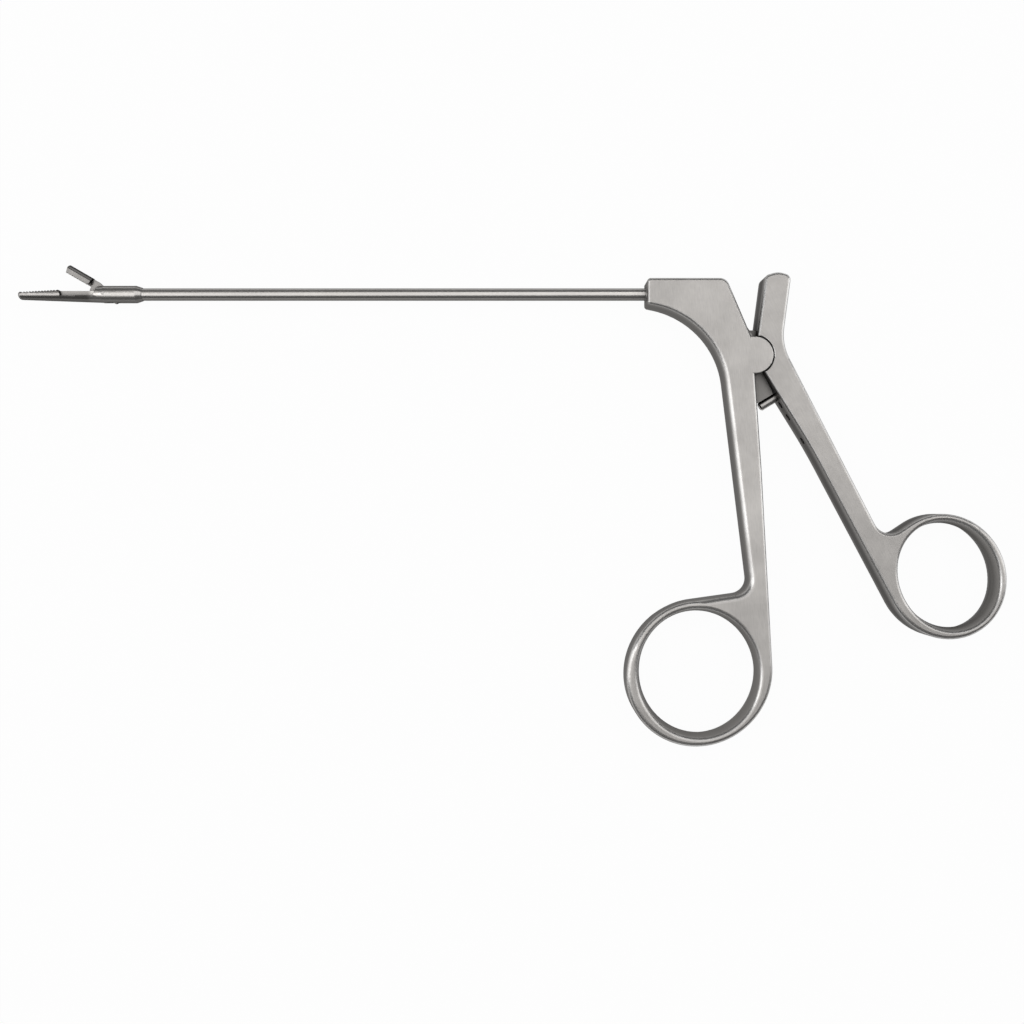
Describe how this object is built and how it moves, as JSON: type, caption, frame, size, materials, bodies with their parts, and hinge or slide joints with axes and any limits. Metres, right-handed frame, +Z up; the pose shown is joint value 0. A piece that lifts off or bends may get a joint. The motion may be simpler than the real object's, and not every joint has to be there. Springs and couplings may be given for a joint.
{
  "type": "hernia forceps",
  "caption": "Long tubular-shaft surgical grasping forceps with ring handles, a toothed fixed lower jaw and a short toothed upper jaw moved by a rod.",
  "frame": {"origin": "On the axis of the handle hinge, in the plane that the forceps rests on when it lies on its side.", "axes": "+X runs along the shaft from the jaws to the handles, +Y from the finger rings to the shaft, +Z up out of the resting plane."},
  "size_m": [0.2345, 0.1142, 0.008],
  "materials": {
    "handle_steel": "satin",
    "tube_steel": "brushed",
    "jaw_steel": "satin",
    "pin_steel": "polished",
    "rod_steel": "drawn",
    "guide_brass": "machined"
  },
  "bodies": {
    "fixed_handle_body": {"fixed_handle": "handle_steel", "handle_pivot_pin": "pin_steel", "outer_tube": "tube_steel", "fixed_jaw": "jaw_steel", "jaw_pivot_pin": "pin_steel", "front_rod_guide": "guide_brass", "middle_rod_guide": "guide_brass", "rear_rod_guide": "guide_brass"},
    "thumb_lever": {"thumb_handle": "handle_steel", "crank_pin": "pin_steel", "stop_peg": "pin_steel"},
    "rod_line": {"pull_rod": "rod_steel", "rod_head": "rod_steel", "cam_pin": "pin_steel", "rod_end": "rod_steel", "rod_lock_nut": "rod_steel", "drawbar": "rod_steel", "drawbar_pins": "pin_steel"},
    "moving_jaw": {"upper_jaw": "jaw_steel"}
  },
  "joints": [
    {"name": "handle_hinge", "type": "hinge", "parent": "fixed_handle_body", "child": "thumb_lever", "pos_m": [0, 0, 0.004], "axis": [0, 0, -1], "range_deg": [0, 21]},
    {"name": "rod_slide", "type": "slide", "parent": "fixed_handle_body", "child": "rod_line", "axis": [1, 0, 0], "range_m": [0, 0.00179]},
    {"name": "jaw_hinge", "type": "hinge", "parent": "fixed_handle_body", "child": "moving_jaw", "pos_m": [-0.1544, 0.0149, 0.004], "axis": [0, 0, 1], "range_deg": [0, 30]}
  ],
  "couplings": [
    {"joint": "rod_slide", "follows": "handle_hinge", "m_per_rad": 0.0048726},
    {"joint": "jaw_hinge", "follows": "handle_hinge", "ratio": 1.4286}
  ]
}
